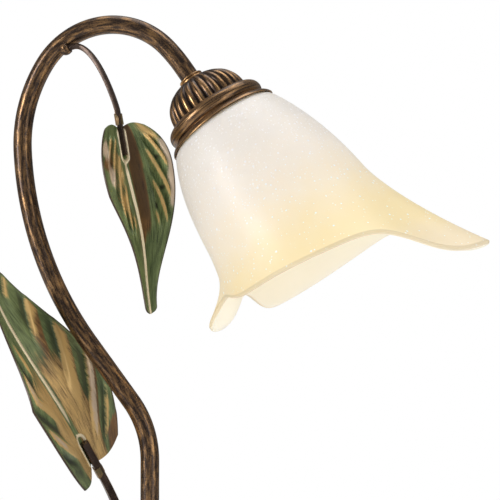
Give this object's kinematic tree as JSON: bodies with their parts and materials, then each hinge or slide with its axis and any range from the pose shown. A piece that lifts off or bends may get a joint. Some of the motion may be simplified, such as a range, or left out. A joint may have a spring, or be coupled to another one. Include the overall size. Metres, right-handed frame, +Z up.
{
  "type": "tulip shade table lamp",
  "caption": "Table lamp with a bent bronze stem, stamped leaves on square stalks, a gadrooned gallery cup and a clamped lily-shaped glass shade over a small screw bulb.",
  "frame": {"origin": "centre of the felt under the base, on the table", "axes": "+Z up; the stem bends in the XZ plane, with the shade and its long tip towards +X and the cord inlet towards -X; the upper leaf is towards -Y"},
  "size_m": [0.3178, 0.167, 0.4727],
  "materials": {
    "felt": "matt felt",
    "zinc_steel": "bright zinc",
    "cast_iron": "rough",
    "bronze_lacquer": "dark brown lacquer dry-brushed with gold",
    "gold_lacquer": "rubbed gold over brown",
    "leaf_patina": "green patina brushed with gold",
    "black_plastic": "matt",
    "brass": "drawn",
    "nickel_brass": "nickel plated",
    "grey_rubber": "soft",
    "frosted_glass": "satin, speckled with frit, cream towards the mouth",
    "opal_glass": "opal"
  },
  "bodies": {
    "lamp": {"felt_pad": "felt", "bottom_plate": "zinc_steel", "base_ballast": "cast_iron", "base_cover": "bronze_lacquer", "cord_bush": "black_plastic", "foot_collar": "bronze_lacquer", "stem_nipple": "zinc_steel", "base_washer": "zinc_steel", "base_nut": "zinc_steel", "stem_tube": "bronze_lacquer", "lower_stalk": "bronze_lacquer", "lower_braze": "bronze_lacquer", "lower_leaf": "leaf_patina", "lower_tongue": "leaf_patina", "upper_stalk": "bronze_lacquer", "upper_braze": "bronze_lacquer", "upper_leaf": "leaf_patina", "upper_tongue": "leaf_patina", "cup_neck": "gold_lacquer", "cup_dome": "bronze_lacquer", "gallery_ring": "bronze_lacquer", "head_nipple": "zinc_steel", "head_nut": "brass", "holder_cap": "black_plastic", "holder_body": "black_plastic", "screw_shell": "brass", "centre_contact": "brass", "gallery_gasket": "grey_rubber"},
    "shade": {"glass_shade": "frosted_glass", "shade_gasket": "grey_rubber"},
    "shade_ring": {"shade_ring": "black_plastic"},
    "bulb_lift": {"bulb_pip": "brass"},
    "bulb": {"bulb_cap": "nickel_brass", "bulb_glass": "opal_glass"}
  },
  "joints": [
    {"name": "shade_drop", "type": "slide", "parent": "lamp", "child": "shade", "axis": [0.5764, 0, -0.8171], "range_m": [0, 0.01]},
    {"name": "ring_turn", "type": "hinge", "parent": "shade", "child": "shade_ring", "pos_m": [0.05088, 0, 0.39609], "axis": [0.5764, 0, -0.8171], "range_deg": [0, 1800.1]},
    {"name": "bulb_drop", "type": "slide", "parent": "lamp", "child": "bulb_lift", "axis": [0.5764, 0, -0.8171], "range_m": [0, 0.015]},
    {"name": "bulb_turn", "type": "hinge", "parent": "bulb_lift", "child": "bulb", "pos_m": [0.04972, 0, 0.39772], "axis": [0.5764, 0, -0.8171], "range_deg": [0, 1915.5]}
  ],
  "couplings": [
    {"joint": "ring_turn", "follows": "shade_drop", "rad_per_m": 3141.6},
    {"joint": "bulb_turn", "follows": "bulb_drop", "rad_per_m": 2228.1}
  ]
}
